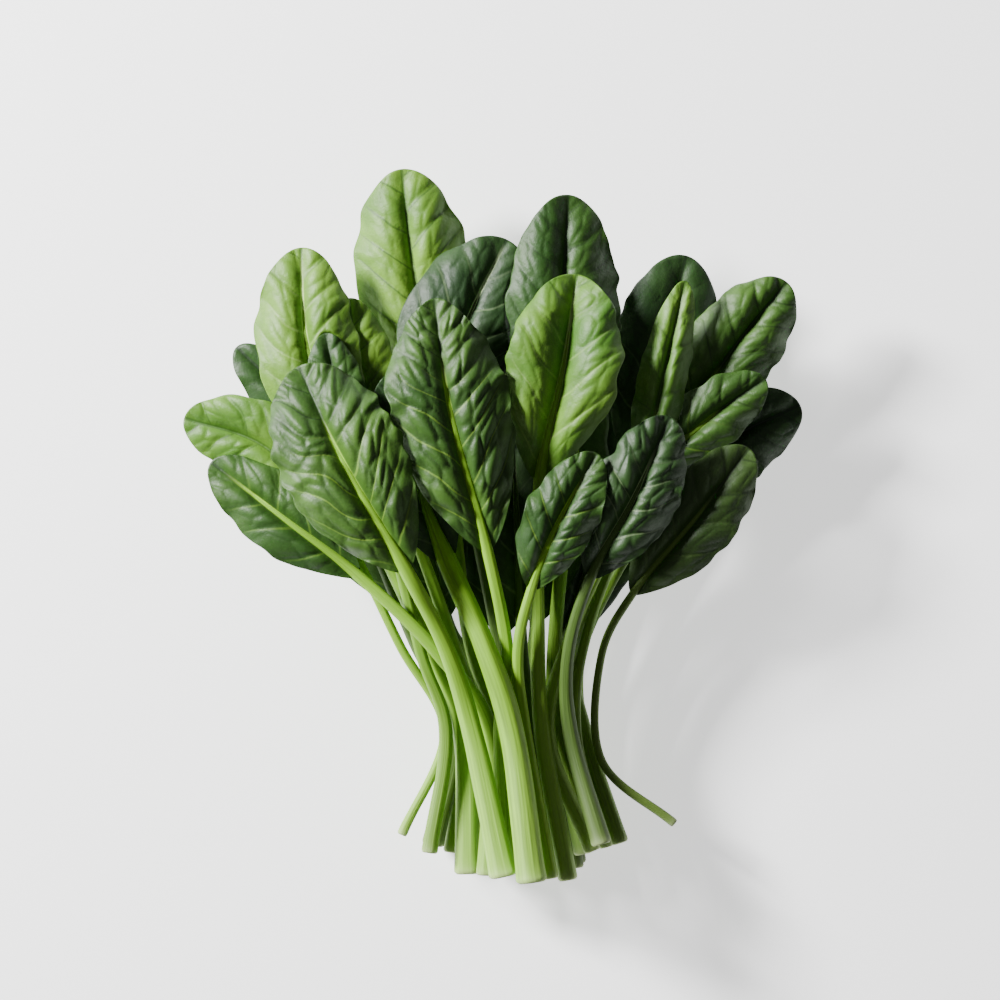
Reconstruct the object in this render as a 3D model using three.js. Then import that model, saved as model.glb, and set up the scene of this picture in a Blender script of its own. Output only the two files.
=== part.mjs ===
// A bunch of fresh spinach lying on its back, in millimetres.
// The leaves point along +Y, the cut ends of the stalks along -Y, and the bunch lies on z = 0.
import * as THREE from "three";

// Driving sizes
const bladeThickness = 0.8;
const clearGap = 0.4;
const ribShare = 0.72;
const ribEndRadius = 0.6;
const ribTaper = 0.6;
const softFold = 7;
const sharpFold = 3;
const sharpFrom = 30;
const usualTaper = 0.04;
const stalkTaper = 0.7;
const stalkSides = 8;
const stalkSteps = 7;
const neckStep = 3;
const bladeSteps = 2;
const widest = 0.5;
const neckSpread = 1.1;
const baseRound = 0.85;
const edgeWaves = 2.6;
const edgeLag = 1.9;
const scallopPace = 1.7;
const scallopDepth = 0.028;
const leafTurn = 2.4;
const ribDent = -1;
const puffRise = 0.8;
const puffFall = -0.2;

// Grid of a blade: cells across, cells from the neck to the widest place, cells from there to the tip
const seenGrid = { across: 8, lower: 4, upper: 4 };
const hiddenGrid = { across: 6, lower: 3, upper: 3 };

// Colours of the two materials each leaf is made of
const bladeGreens = { deep: 0x24491c, mid: 0x3c6b26, pale: 0x6f9440, olive: 0x565f1f };
const stalkGreens = { deep: 0x7d8f45, mid: 0x9fb45c, pale: 0xc3cf8a, olive: 0x8a8440 };

// Every leaf: its middle line as x, y and height at the cut end, waist, lower stalk, neck, middle and tip,
// the width of the blade, the stalk's radius at the cut end and at the neck, and how the blade is bent:
// roll tips the right side down, fold drops both sides from the rib, wave and pucker are heights.
const leaves = [
  { name: "under_centre", tone: "deep", width: 46, radii: [3.6, 2.2], grid: hiddenGrid, restsFlat: true,
    line: [[1, -49, 0], [0, 2, 0], [-1, 22, 2], [-4, 38, 4], [-9, 98, 3], [-17, 158, 5]],
    roll: 0, fold: 4, wave: 2, pucker: 0.8 },
  { name: "under_left", tone: "mid", width: 40, radii: [3.4, 2], grid: hiddenGrid,
    line: [[-23, -43, 0], [-18, 2, 0], [-23, 28, 4], [-34, 46, 6], [-58, 84, 3], [-82, 118, 4]],
    roll: -6, fold: 4, wave: 2, pucker: 0.8 },
  { name: "under_right", tone: "deep", width: 40, radii: [3.4, 2], grid: hiddenGrid,
    line: [[23, -47, 0], [16, 2, 0], [16, 20, 3], [19, 36, 5], [36, 90, 3], [54, 144, 4]],
    roll: 6, fold: 4, wave: 2, pucker: 0.8 },
  { name: "under_mid_left", tone: "deep", width: 38, radii: [3.4, 2], grid: hiddenGrid,
    line: [[-12, -45, 0], [-10, 2, 0], [-17, 28, 4], [-25, 44, 8], [-38, 98, 10], [-48, 152, 12]],
    roll: -6, fold: 5, wave: 2, pucker: 0.8 },
  { name: "under_mid_right", tone: "mid", width: 40, radii: [3.4, 2], grid: hiddenGrid,
    line: [[10, -48, 0], [6.5, 2, 0], [6.5, 24, 4], [7.5, 42, 8], [14, 100, 9], [19, 158, 10]],
    roll: 4, fold: 5, wave: 2, pucker: 0.8 },
  { name: "under_far_right", tone: "mid", width: 28, radii: [3.2, 1.8], grid: hiddenGrid,
    line: [[31, -39, 1], [21, 2, 0], [23, 30, 4], [31, 54, 7], [54, 84, 8], [80, 112, 10]],
    roll: 4, fold: 5, wave: 2, pucker: 0.8 },
  { name: "back_right", tone: "deep", width: 39, radii: [3.2, 2], grid: hiddenGrid,
    line: [[22, -48, 8], [17, 2, 8], [23, 43, 12], [42, 98, 18], [53, 138, 24], [62, 175, 26]],
    roll: 12, fold: 10, wave: 2, pucker: 0.9 },
  { name: "tall_left", tone: "pale", width: 43, radii: [3.3, 2.2], grid: seenGrid,
    line: [[-4, -43, 8], [-5, 2, 8], [-17, 38, 14], [-26, 116, 24], [-36, 165, 30], [-41, 206, 30]],
    roll: 0, fold: 28, wave: 2, pucker: 1 },
  { name: "far_left_tip", tone: "deep", width: 22, radii: [4, 1.8], grid: hiddenGrid,
    line: [[-30, -40, 6], [-22, 2, 7], [-37, 36, 13], [-59, 86, 20], [-81, 121, 24], [-101, 142, 23]],
    roll: 0, fold: 12, wave: 1.5, pucker: 0.8 },
  { name: "upper_right", tone: "mid", width: 33, radii: [3.2, 2], grid: seenGrid,
    line: [[35, -38, 10], [24, 2, 8], [26, 40, 16], [55, 104, 26], [78, 140, 32], [98, 165, 34]],
    roll: 8, fold: 22, wave: 2.5, pucker: 1.1 },
  { name: "hidden_centre", tone: "deep", width: 36, radii: [3.2, 2], grid: hiddenGrid,
    line: [[11, -44, 8], [6, 2, 8], [3, 26, 16], [2, 44, 24], [0, 92, 32], [-4, 138, 34]],
    roll: 4, fold: 6, wave: 2, pucker: 0.9 },
  { name: "mid_left_folded", tone: "pale", width: 30, radii: [3.2, 2], grid: seenGrid,
    line: [[-14, -45, 10], [-13, 2, 9], [-23, 36, 20], [-40, 84, 32], [-54, 122, 38], [-60, 159, 38]],
    roll: 4, fold: 20, wave: 2, pucker: 0.9 },
  { name: "back_centre_wide", tone: "deep", width: 47, radii: [3.2, 2.2], grid: seenGrid,
    line: [[4, -45, 9], [1, 2, 9], [-6, 36, 20], [-19, 106, 34], [-19, 144, 40], [-3, 180, 38]],
    roll: 8, fold: 18, wave: 2.5, pucker: 1.1 },
  { name: "upper_left_pale", tone: "pale", width: 37, radii: [5, 2.4], grid: seenGrid,
    line: [[-17, -49, 18], [-19, 2, 15], [-32, 36, 20], [-59, 94, 26], [-74, 139, 33], [-77, 177, 32]],
    roll: 4, fold: 20, wave: 2.5, pucker: 1.1 },
  { name: "far_right", tone: "deep", width: 33, radii: [3.3, 1.9], grid: seenGrid,
    line: [[38, -38, 18], [25.5, 2, 16], [23, 29, 20], [43, 70, 24], [74, 105, 28], [103, 121, 28]],
    roll: 14, fold: 12, wave: 2.5, pucker: 1 },
  { name: "top_right", tone: "mid", width: 41, radii: [3.4, 2.3], grid: seenGrid,
    line: [[25, -42, 22], [16, 2, 19], [14.5, 36, 24], [21, 112, 32], [17.5, 153, 36], [19, 196, 36]],
    roll: 4, fold: 24, wave: 2.5, pucker: 1.1 },
  { name: "left_pale", tone: "pale", width: 30, radii: [1.8, 1.6], grid: seenGrid,
    line: [[-41, -35, 14], [-25.5, 2, 15], [-41.5, 34, 24], [-63, 76, 32], [-89, 105, 36], [-119, 116, 34]],
    roll: -8, fold: 14, wave: 2, pucker: 1 },
  { name: "right_mid", tone: "mid", width: 24, radii: [2.6, 1.6], grid: seenGrid,
    line: [[33, -39, 20], [22, 2, 16], [27, 42, 26], [49, 94, 34], [69, 115, 38], [90, 130, 38]],
    roll: 8, fold: 20, wave: 2, pucker: 1 },
  { name: "narrow_folded", tone: "pale", width: 18, radii: [3.2, 1.8], grid: seenGrid,
    line: [[28, -40, 16], [12, 2, 16], [22, 43, 28], [44, 90, 38], [52, 126, 43], [61, 165, 42]],
    roll: 8, fold: 34, wave: 1.5, pucker: 0.8 },
  { name: "small_grey", tone: "mid", width: 22, radii: [3, 1.8], grid: seenGrid,
    line: [[-31, -41, 18], [-25, 2, 18], [-34, 32, 30], [-47, 83, 42], [-61, 117, 47], [-68, 146, 46]],
    roll: 4, fold: 14, wave: 2, pucker: 0.9 },
  { name: "centre_bright", tone: "pale", width: 41, radii: [3.6, 2.4], grid: seenGrid,
    line: [[19, -50, 26], [10, 2, 23], [8, 43, 34], [9, 94, 42], [17, 133, 50], [22, 167, 48]],
    roll: 0, fold: -18, wave: 3, pucker: 1.1 },
  { name: "left_low", tone: "mid", width: 27, radii: [4, 2.1], grid: seenGrid,
    line: [[-10, -49, 17], [-9, 2, 17], [-28, 32, 31], [-57, 60, 40], [-83, 80, 46], [-109, 100, 42]],
    roll: -4, fold: 12, wave: 2, pucker: 1 },
  { name: "right_olive", tone: "olive", width: 30, radii: [1.6, 1.4], grid: seenGrid,
    line: [[58, -31, 16], [31.5, -8, 20], [31, 29, 28], [42.5, 53, 38], [64, 79, 44], [84, 105, 40]],
    roll: 6, fold: 12, wave: 2.5, pucker: 1 },
  { name: "between_front", tone: "deep", width: 29, radii: [5.4, 3.6], grid: seenGrid, stalkOnTop: true,
    line: [[6, -49.5, 32], [-1, 2, 30], [-11, 34, 38], [-25, 66, 44], [-36, 97, 48], [-44, 132, 46]],
    roll: 4, fold: 8, wave: 2, pucker: 1 },
  { name: "right_front", tone: "deep", width: 31, radii: [3.6, 1.9], grid: seenGrid,
    line: [[31, -37, 27], [20, 2, 24], [19, 31, 36], [27, 59, 48], [42, 87, 56], [55, 116, 54]],
    roll: 10, fold: 18, wave: 2.5, pucker: 1.2 },
  { name: "centre_front", tone: "mid", width: 44, radii: [3.8, 2], grid: seenGrid,
    line: [[-3, -44, 21], [-5, 2, 19], [-3, 32, 34], [-10, 69, 52], [-23, 118, 62], [-29, 158, 56]],
    roll: 10, fold: 20, wave: 3, taper: 0.3, pucker: 1.4 },
  { name: "centre_small", tone: "mid", width: 26, radii: [2.6, 1.8], grid: seenGrid,
    line: [[13, -49, 27], [4, 2, 24], [1, 31, 36], [6, 55, 50], [15, 78, 60], [29, 103, 58]],
    roll: 6, fold: 16, wave: 2, pucker: 1.2 },
  { name: "left_front", tone: "mid", width: 45, radii: [5, 2.5], grid: seenGrid,
    line: [[-4, -48, 31], [-15, 2, 27], [-24, 32, 38], [-39, 62, 50], [-61, 100, 60], [-77, 134, 52]],
    roll: 10, fold: 18, wave: 3, pucker: 1.4 },
];

// Point of a smooth curve through the places of a middle line; step 0 is the cut end, 3 the neck, 5 the tip
function along(line, step) {
  const start = Math.min(Math.max(Math.floor(step), 0), line.length - 2);
  const f = step - start;
  const from = line[start];
  const to = line[start + 1];
  const before = line[start - 1] ?? from.map((value, axis) => 2 * value - to[axis]);
  const after = line[start + 2] ?? to.map((value, axis) => 2 * value - from[axis]);
  return from.map((value, axis) => {
    const first = to[axis] - before[axis];
    const second = 2 * before[axis] - 5 * value + 4 * to[axis] - after[axis];
    const third = 3 * (value - to[axis]) + after[axis] - before[axis];
    return value + 0.5 * f * (first + f * (second + f * third));
  });
}

// Direction to the right of the line, level with the ground
function rightOf(line, step) {
  const reach = 0.05;
  const ahead = along(line, Math.min(step + reach, line.length - 1));
  const behind = along(line, Math.max(step - reach, 0));
  const length = Math.hypot(ahead[0] - behind[0], ahead[1] - behind[1]);
  return [(ahead[1] - behind[1]) / length, (behind[0] - ahead[0]) / length];
}

// Half width and share of the length at a place on the blade: across -1 to 1, up 0 at the neck to 2 at the tip
function outlinePlace(leaf, across, up) {
  const neckHalf = leaf.radii[1] * neckSpread;
  const half = leaf.width / 2;
  if (up <= 1) {
    const opening = Math.sin((up * Math.PI) / 2) ** baseRound;
    return [across * (neckHalf + (half - neckHalf) * opening), widest * up];
  }
  const cap = up - 1;
  const rise = cap * Math.sqrt(1 - (across * across) / 2);
  const taper = 1 - (leaf.taper ?? usualTaper) * rise * rise;
  return [across * half * taper * Math.sqrt(1 - (cap * cap) / 2), widest + (1 - widest) * rise];
}

// Middle surface of a blade as rows of points
function bladeGrid(leaf, turn) {
  const { across: columns, lower, upper } = leaf.grid;
  const rollSlope = Math.tan((leaf.roll * Math.PI) / 180);
  const foldSlope = Math.tan((leaf.fold * Math.PI) / 180);
  const softness = leaf.fold > sharpFrom ? sharpFold : softFold;
  const rows = [];
  for (let row = 0; row <= lower + upper; row += 1) {
    const up = row <= lower ? row / lower : 1 + (row - lower) / upper;
    const points = [];
    for (let column = 0; column <= columns; column += 1) {
      const across = (2 * column) / columns - 1;
      const [side, share] = outlinePlace(leaf, across, up);
      const step = neckStep + bladeSteps * share;
      const [x, y, z] = along(leaf.line, step);
      const right = rightOf(leaf.line, step);
      const phase = 2 * Math.PI * edgeWaves * share + turn + (across > 0 ? edgeLag : 0);
      const open = Math.min(1, 2 * share);
      const ripple = leaf.wave * Math.abs(across) ** 3 * Math.sin(phase) * open;
      const onRib = column === columns / 2;
      const dent = onRib ? ribDent : (row + column) % 2 === 0 ? puffRise : puffFall;
      const crease = foldSlope * (Math.hypot(side, softness) - softness);
      const scallop = 1 + scallopDepth * Math.sin(scallopPace * phase) * open;
      points.push(new THREE.Vector3(
        x + side * scallop * right[0],
        y + side * scallop * right[1],
        z - rollSlope * side - crease + ripple + leaf.pucker * dent * open,
      ));
    }
    rows.push(points);
  }
  return rows;
}

// Corners of the two triangles in each cell of a grid, with the cut mirrored about the rib
function gridTriangles(rows) {
  const columns = rows[0].length;
  const triangles = [];
  for (let row = 0; row + 1 < rows.length; row += 1) {
    for (let column = 0; column + 1 < columns; column += 1) {
      const near = row * columns + column;
      const far = near + columns;
      if (column < (columns - 1) / 2) {
        triangles.push([near, near + 1, far], [near + 1, far + 1, far]);
      } else {
        triangles.push([near, near + 1, far + 1], [near, far + 1, far]);
      }
    }
  }
  return triangles;
}

// Closed sheet of even thickness about a grid of points
function thickSheet(rows) {
  const points = rows.flat();
  const count = points.length;
  const columns = rows[0].length;
  const faces = gridTriangles(rows);
  const normals = points.map(() => new THREE.Vector3());
  for (const [a, b, c] of faces) {
    const first = points[b].clone().sub(points[a]);
    const normal = first.cross(points[c].clone().sub(points[a])).normalize();
    for (const corner of [a, b, c]) {
      normals[corner].add(normal);
    }
  }
  const half = bladeThickness / 2;
  const raised = points.map((point, index) => point.clone().addScaledVector(normals[index].normalize(), half));
  const lowered = points.map((point, index) => point.clone().addScaledVector(normals[index], -half));
  const triangles = [];
  for (const [a, b, c] of faces) {
    triangles.push([a, b, c], [a + count, c + count, b + count]);
  }
  const rim = [];
  for (let column = 0; column + 1 < columns; column += 1) {
    rim.push(column);
  }
  for (let row = 0; row + 1 < rows.length; row += 1) {
    rim.push(row * columns + columns - 1);
  }
  for (let column = columns - 1; column > 0; column -= 1) {
    rim.push((rows.length - 1) * columns + column);
  }
  for (let row = rows.length - 1; row > 0; row -= 1) {
    rim.push(row * columns);
  }
  rim.forEach((here, index) => {
    const next = rim[(index + 1) % rim.length];
    triangles.push([here, here + count, next + count], [here, next + count, next]);
  });
  return { points: [...raised, ...lowered], triangles };
}

// Radius of a stalk at a step of its line: wide at the cut end, narrower at the neck
function stalkRadius(leaf, step) {
  const [cut, neck] = leaf.radii;
  const share = Math.min(step / neckStep, 1);
  return cut + (neck - cut) * share ** stalkTaper;
}

// Stations of the rib under a blade, each held clear of both halves of the blade
function ribStations(leaf) {
  const rows = leaf.rows;
  const middle = (rows[0].length - 1) / 2;
  const last = Math.round((rows.length - 1) * ribShare);
  const stations = [];
  for (let row = 0; row <= last; row += 1) {
    const points = rows[row];
    const centre = points[middle];
    const share = row / last;
    const radius = leaf.radii[1] + (ribEndRadius - leaf.radii[1]) * share ** ribTaper;
    const steepest = [points[middle - 1], points[middle + 1]].reduce((slope, side) => {
      const run = Math.hypot(side.x - centre.x, side.y - centre.y);
      return Math.max(slope, (centre.z - side.z) / run);
    }, 0);
    const drop = (radius + bladeThickness / 2 + clearGap) * Math.hypot(1, steepest);
    stations.push({ x: centre.x, y: centre.y, z: centre.z - drop, radius });
  }
  return stations;
}

// Stations of the free stalk, from the cut end to just before the neck
function stalkStations(leaf, neckDrop) {
  const stations = [];
  for (let index = 0; index < stalkSteps; index += 1) {
    const step = (neckStep * index) / stalkSteps;
    const [x, y, z] = along(leaf.line, step);
    stations.push({ x, y, z: z + leaf.stalkLift[index] - neckDrop, radius: stalkRadius(leaf, step) });
  }
  return stations;
}

// Height of the blade's middle above the rib at the neck
function neckDropOf(leaf) {
  const middle = (leaf.rows[0].length - 1) / 2;
  return leaf.rows[0][middle].z - ribStations(leaf)[0].z;
}

// Closed tube with flat facets above and below through a row of stations
function tube(stations) {
  const points = [];
  const triangles = [];
  stations.forEach((station, index) => {
    const before = stations[Math.max(index - 1, 0)];
    const after = stations[Math.min(index + 1, stations.length - 1)];
    const length = Math.hypot(after.x - before.x, after.y - before.y);
    const right = [(after.y - before.y) / length, (before.x - after.x) / length];
    for (let side = 0; side < stalkSides; side += 1) {
      const angle = ((side + 0.5) / stalkSides) * 2 * Math.PI;
      const across = station.radius * Math.cos(angle);
      const rise = station.radius * Math.sin(angle);
      points.push(new THREE.Vector3(
        station.x + across * right[0],
        station.y + across * right[1],
        station.z + rise,
      ));
    }
  });
  for (let ring = 0; ring + 1 < stations.length; ring += 1) {
    for (let side = 0; side < stalkSides; side += 1) {
      const here = ring * stalkSides + side;
      const next = ring * stalkSides + ((side + 1) % stalkSides);
      triangles.push([here, next + stalkSides, next], [here, here + stalkSides, next + stalkSides]);
    }
  }
  const end = (stations.length - 1) * stalkSides;
  for (let side = 1; side + 1 < stalkSides; side += 1) {
    triangles.push([0, side, side + 1], [end, end + side + 1, end + side]);
  }
  return { points, triangles };
}

// How far a tube with facets reaches below its middle at a distance to the side
function tubeDepth(radius, offset) {
  const flat = radius * Math.sin(Math.PI / stalkSides);
  const reach = radius * Math.cos(Math.PI / stalkSides);
  const away = Math.abs(offset);
  return away <= flat ? reach : reach - ((away - flat) / (reach - flat)) * (reach - flat);
}

// Height of the pile at each place of a level field, kept as the highest material met so far
const cellSize = 1;
const fieldStart = { x: -150, y: -80 };
const fieldColumns = 290;
const fieldRows = 310;
const pileTop = new Float64Array(fieldColumns * fieldRows).fill(-clearGap);
const pileReach = new Float64Array(pileTop);

function cellAt(x, y) {
  const column = Math.round((x - fieldStart.x) / cellSize);
  const row = Math.round((y - fieldStart.y) / cellSize);
  return row * fieldColumns + column;
}

// Calls visit with the weights of points spread evenly over a triangle as seen from above
function spread(a, b, c, spacing, visit) {
  const sides = [[a, b], [b, c], [c, a]].map(([from, to]) => Math.hypot(to.x - from.x, to.y - from.y));
  const parts = Math.max(1, Math.ceil(Math.max(...sides) / spacing));
  for (let i = 0; i <= parts; i += 1) {
    for (let j = 0; i + j <= parts; j += 1) {
      visit(i / parts, j / parts, 1 - (i + j) / parts);
    }
  }
}

// Adds a solid to the pile and widens every height by one cell, so that steep sides keep their distance
function addToPile(solid) {
  for (const [first, second, third] of solid.triangles) {
    const a = solid.points[first];
    const b = solid.points[second];
    const c = solid.points[third];
    spread(a, b, c, cellSize / 2, (u, v, w) => {
      const cell = cellAt(a.x * u + b.x * v + c.x * w, a.y * u + b.y * v + c.y * w);
      pileTop[cell] = Math.max(pileTop[cell], a.z * u + b.z * v + c.z * w);
    });
  }
  for (let row = 1; row + 1 < fieldRows; row += 1) {
    for (let column = 1; column + 1 < fieldColumns; column += 1) {
      const cell = row * fieldColumns + column;
      let highest = pileTop[cell];
      for (const step of [1, fieldColumns - 1, fieldColumns, fieldColumns + 1]) {
        highest = Math.max(highest, pileTop[cell - step], pileTop[cell + step]);
      }
      pileReach[cell] = highest;
    }
  }
}

// Shares a lift over corners so that the weighted place between them rises by the missing height
function shareLift(pushes, corners, weights, missing) {
  const square = weights.reduce((sum, weight) => sum + weight * weight, 0);
  corners.forEach((corner, index) => {
    pushes[corner] = Math.max(pushes[corner], (missing * weights[index]) / square);
  });
}

// Lifts that the pile asks of each corner of a blade
function bladePushes(leaf) {
  const points = leaf.rows.flat();
  const pushes = new Array(points.length).fill(0);
  for (const corners of gridTriangles(leaf.rows)) {
    const [a, b, c] = corners.map((corner) => points[corner]);
    const normal = b.clone().sub(a).cross(c.clone().sub(a)).normalize();
    const half = bladeThickness / 2 / Math.max(Math.abs(normal.z), 0.2);
    spread(a, b, c, cellSize, (u, v, w) => {
      const cell = cellAt(a.x * u + b.x * v + c.x * w, a.y * u + b.y * v + c.y * w);
      const missing = pileReach[cell] + clearGap + half - (a.z * u + b.z * v + c.z * w);
      if (missing > 0) {
        shareLift(pushes, corners, [u, v, w], missing);
      }
    });
  }
  return pushes;
}

// Lifts that the pile asks of each station of a tube, leaving out the places within a distance of its end
function tubePushes(stations, endLength = 0) {
  const pushes = new Array(stations.length).fill(0);
  const end = stations[stations.length - 1];
  for (let index = 0; index + 1 < stations.length; index += 1) {
    const from = stations[index];
    const to = stations[index + 1];
    const length = Math.hypot(to.x - from.x, to.y - from.y);
    const right = [(to.y - from.y) / length, (from.x - to.x) / length];
    const parts = Math.ceil(length / cellSize);
    for (let part = 0; part <= parts; part += 1) {
      const f = part / parts;
      const radius = from.radius + (to.radius - from.radius) * f;
      const reach = radius * Math.cos(Math.PI / stalkSides);
      for (let lane = -4; lane <= 4; lane += 1) {
        const offset = (reach * lane) / 4;
        const x = from.x + (to.x - from.x) * f + right[0] * offset;
        const y = from.y + (to.y - from.y) * f + right[1] * offset;
        const bottom = from.z + (to.z - from.z) * f - tubeDepth(radius, offset);
        const missing = pileReach[cellAt(x, y)] + clearGap - bottom;
        if (missing > 0 && Math.hypot(x - end.x, y - end.y) >= endLength) {
          shareLift(pushes, [index, index + 1], [1 - f, f], missing);
        }
      }
    }
  }
  return pushes;
}

// Evens out lifts along a chain, with its last one held
function smoothChain(lifts, held) {
  const chain = [...lifts, held];
  return lifts.map((lift, index) => {
    const before = chain[index - 1] ?? chain[index + 1];
    return lift + 0.5 * ((before + chain[index + 1]) / 2 - lift);
  });
}

// Evens out lifts over a grid
function smoothGrid(lifts, rowCount, columnCount) {
  return lifts.map((lift, index) => {
    const row = Math.floor(index / columnCount);
    const column = index % columnCount;
    const beside = [];
    if (row > 0) beside.push(lifts[index - columnCount]);
    if (row + 1 < rowCount) beside.push(lifts[index + columnCount]);
    if (column > 0) beside.push(lifts[index - 1]);
    if (column + 1 < columnCount) beside.push(lifts[index + 1]);
    const mean = beside.reduce((sum, value) => sum + value, 0) / beside.length;
    return lift + 0.5 * (mean - lift);
  });
}

// Raises a blade, its rib and its free stalk until they lie clear of the pile, bending them as little as it can
const bendRounds = 36;
const liftRounds = 24;
const ownBladeReach = 6;

function settle(leaf, parts) {
  const rowCount = leaf.rows.length;
  const columnCount = leaf.rows[0].length;
  const drawn = leaf.rows.flat().map((point) => point.z);
  let lifts = drawn.map(() => 0);
  for (let round = 0; round < bendRounds + liftRounds; round += 1) {
    const bending = round < bendRounds;
    if (parts.blade) {
      const pushes = bladePushes(leaf);
      const ribPushes = tubePushes(ribStations(leaf));
      lifts = lifts.map((lift, index) => {
        const row = Math.floor(index / columnCount);
        return lift + Math.max(pushes[index], ribPushes[row] ?? 0);
      });
      if (bending) {
        lifts = smoothGrid(smoothGrid(lifts, rowCount, columnCount), rowCount, columnCount);
      }
    }
    if (parts.stalk) {
      const stations = [...stalkStations(leaf, neckDropOf(leaf)), ribStations(leaf)[0]];
      const pushes = tubePushes(stations, parts.blade ? 0 : ownBladeReach);
      leaf.stalkLift = leaf.stalkLift.map((lift, index) => lift + pushes[index]);
      if (parts.blade) {
        lifts[0] += pushes[stalkSteps];
      }
      if (bending) {
        leaf.stalkLift = smoothChain(leaf.stalkLift, parts.blade ? lifts[0] : leaf.neckLift);
      }
    }
    if (parts.blade) {
      lifts.fill(Math.max(...lifts.slice(0, columnCount)), 0, columnCount);
      leaf.rows.flat().forEach((point, index) => {
        point.z = drawn[index] + lifts[index];
      });
    }
  }
  if (parts.blade) {
    leaf.neckLift = lifts[0];
  }
}

// Lays the lower part of a stalk flat on the ground, as the face that the bunch rests on
const flatStations = 4;

function layFlat(leaf) {
  const drop = neckDropOf(leaf);
  for (let index = 0; index < flatStations; index += 1) {
    const step = (neckStep * index) / stalkSteps;
    const height = stalkRadius(leaf, step) * Math.cos(Math.PI / stalkSides);
    leaf.stalkLift[index] = height + drop - along(leaf.line, step)[2];
  }
}

// Settles the leaves from the ground up; one stalk is laid last, over the blades and stalks in front of its own
function layBunch() {
  leaves.forEach((leaf, index) => {
    leaf.rows = bladeGrid(leaf, index * leafTurn);
    leaf.stalkLift = new Array(stalkSteps).fill(0);
    leaf.neckLift = 0;
    settle(leaf, { blade: true, stalk: !leaf.stalkOnTop });
    if (leaf.restsFlat) {
      layFlat(leaf);
    }
    addToPile(thickSheet(leaf.rows));
    const rib = ribStations(leaf);
    addToPile(tube(leaf.stalkOnTop ? rib : [...stalkStations(leaf, neckDropOf(leaf)), ...rib]));
  });
  for (const leaf of leaves.filter((each) => each.stalkOnTop)) {
    leaf.stalkLift.fill(leaf.neckLift);
    settle(leaf, { blade: false, stalk: true });
  }
}

// Mesh with its own material
function node(name, solid, colour, roughness) {
  const geometry = new THREE.BufferGeometry();
  const places = solid.points.flatMap((point) => [point.x, point.y, point.z]);
  geometry.setAttribute("position", new THREE.Float32BufferAttribute(places, 3));
  geometry.setIndex(solid.triangles.flat());
  geometry.computeVertexNormals();
  const mesh = new THREE.Mesh(geometry, new THREE.MeshStandardMaterial({ color: colour, roughness }));
  mesh.name = name;
  return mesh;
}

const bunch = new THREE.Group();
bunch.name = "spinach_bunch";
layBunch();
for (const leaf of leaves) {
  const stations = [...stalkStations(leaf, neckDropOf(leaf)), ...ribStations(leaf)];
  bunch.add(node(`blade_${leaf.name}`, thickSheet(leaf.rows), bladeGreens[leaf.tone], 0.55));
  bunch.add(node(`stalk_${leaf.name}`, tube(stations), stalkGreens[leaf.tone], 0.5));
}

export default bunch;
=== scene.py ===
import math
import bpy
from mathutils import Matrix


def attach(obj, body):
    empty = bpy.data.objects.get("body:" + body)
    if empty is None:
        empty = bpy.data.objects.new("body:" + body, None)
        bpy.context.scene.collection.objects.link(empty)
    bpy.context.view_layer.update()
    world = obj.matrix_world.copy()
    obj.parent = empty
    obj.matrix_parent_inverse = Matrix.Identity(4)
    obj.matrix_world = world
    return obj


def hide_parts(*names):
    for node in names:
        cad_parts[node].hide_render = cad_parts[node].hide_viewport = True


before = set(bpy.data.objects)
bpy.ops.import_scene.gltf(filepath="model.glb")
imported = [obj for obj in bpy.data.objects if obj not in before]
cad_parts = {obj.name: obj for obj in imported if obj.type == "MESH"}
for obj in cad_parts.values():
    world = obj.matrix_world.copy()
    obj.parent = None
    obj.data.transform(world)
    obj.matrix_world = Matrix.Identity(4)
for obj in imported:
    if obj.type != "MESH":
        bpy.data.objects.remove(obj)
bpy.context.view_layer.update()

from types import SimpleNamespace

import bpy
import numpy as np
from mathutils import Vector
from mathutils.bvhtree import BVHTree

# A bunch of fresh spinach: fine blades and stalks that follow the plain solids of the frame.
# Lengths are millimetres until a mesh is made, which is in metres.
MM = 0.001
WHITE = (1, 1, 1, 1)

# Plan of every leaf, the same as that of its solid. A step along the middle line is 0 at the cut end and
# 3 at the neck, and the blade takes 2 more.
NECK_STEP = 3
BLADE_STEPS = 2
SOLID_THICKNESS = 0.8
WIDEST = 0.5
NECK_SPREAD = 1.1
BASE_ROUND = 0.85
USUAL_TAPER = 0.04
LEAF_TURN = 2.4
EDGE_WAVES = 2.6
EDGE_LAG = 1.9
SCALLOP_PACE = 1.7
SCALLOP_DEPTH = 0.028

# Fine blade and its edge, with grids for the leaves that show and for the hidden ones
BLADE_THICKNESS = 0.45
FINE = {"across": 72, "lower": 50, "upper": 50, "evening": 90}
PLAIN = {"across": 28, "lower": 20, "upper": 20, "evening": 16}
CRINKLED_FROM = 1.5
OPENING_PACE = 7
NOTCH_SIZE = 8
NOTCH_DEPTH = 0.022
CRINKLED_NOTCH_DEPTH = 0.045
RUFFLE_HEIGHT = 0.3
CRINKLED_RUFFLE_HEIGHT = 1.4
RUFFLE_LENGTH = 2.8
RUFFLE_STRAY = 2.5

# Free room between neighbours: how far it is looked for, and the part of it that a blade may take
FREE_REACH = 12
ROOM_EVENING = 4
ROOM_USED = 0.5
ROOM_KEPT = 0.15

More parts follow.
